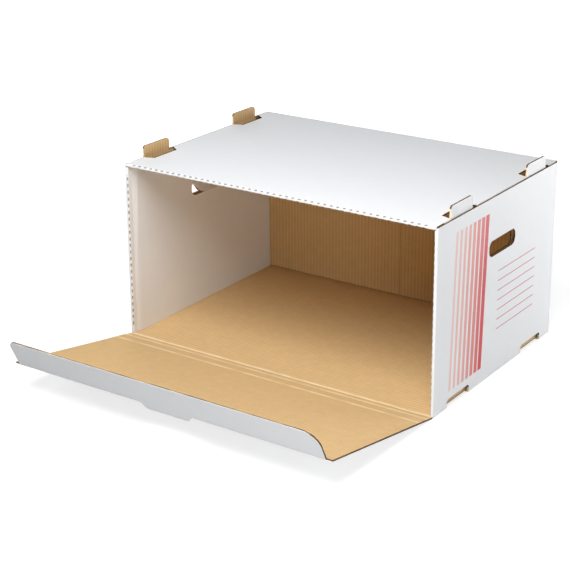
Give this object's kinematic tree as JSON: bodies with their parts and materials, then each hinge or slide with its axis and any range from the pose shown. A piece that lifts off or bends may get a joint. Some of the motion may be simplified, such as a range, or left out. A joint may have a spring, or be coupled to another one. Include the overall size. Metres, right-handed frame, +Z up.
{
  "type": "archive storage box",
  "caption": "Front-opening archive box folded from corrugated board, with stacking tabs, hand holes and a hinged front flap that ends in a tuck lip.",
  "frame": {"origin": "middle of the box body's base, on the surface that it stands on", "axes": "+X across the front to the right as seen from the front, +Y from the open front to the back, +Z up"},
  "size_m": [0.53, 0.6359, 0.2915],
  "materials": {
    "white_board": "white-faced corrugated board, matt",
    "kraft_board": "brown kraft face of the same board, matt"
  },
  "bodies": {
    "body": {"box_body": "white_board"},
    "flap": {"front_flap": "kraft_board"},
    "lip": {"tuck_lip": "white_board"}
  },
  "joints": [
    {"name": "flap_hinge", "type": "hinge", "parent": "body", "child": "flap", "pos_m": [0, -0.1828, 0.0025], "axis": [-1, 0, 0], "range_deg": [-7, 80]},
    {"name": "lip_fold", "type": "hinge", "parent": "flap", "child": "lip", "pos_m": [0, -0.43097, 0.04626], "axis": [-1, 0, 0], "range_deg": [-4, 40]}
  ],
  "couplings": [
    {"joint": "lip_fold", "follows": "flap_hinge", "ratio": 0.45}
  ]
}
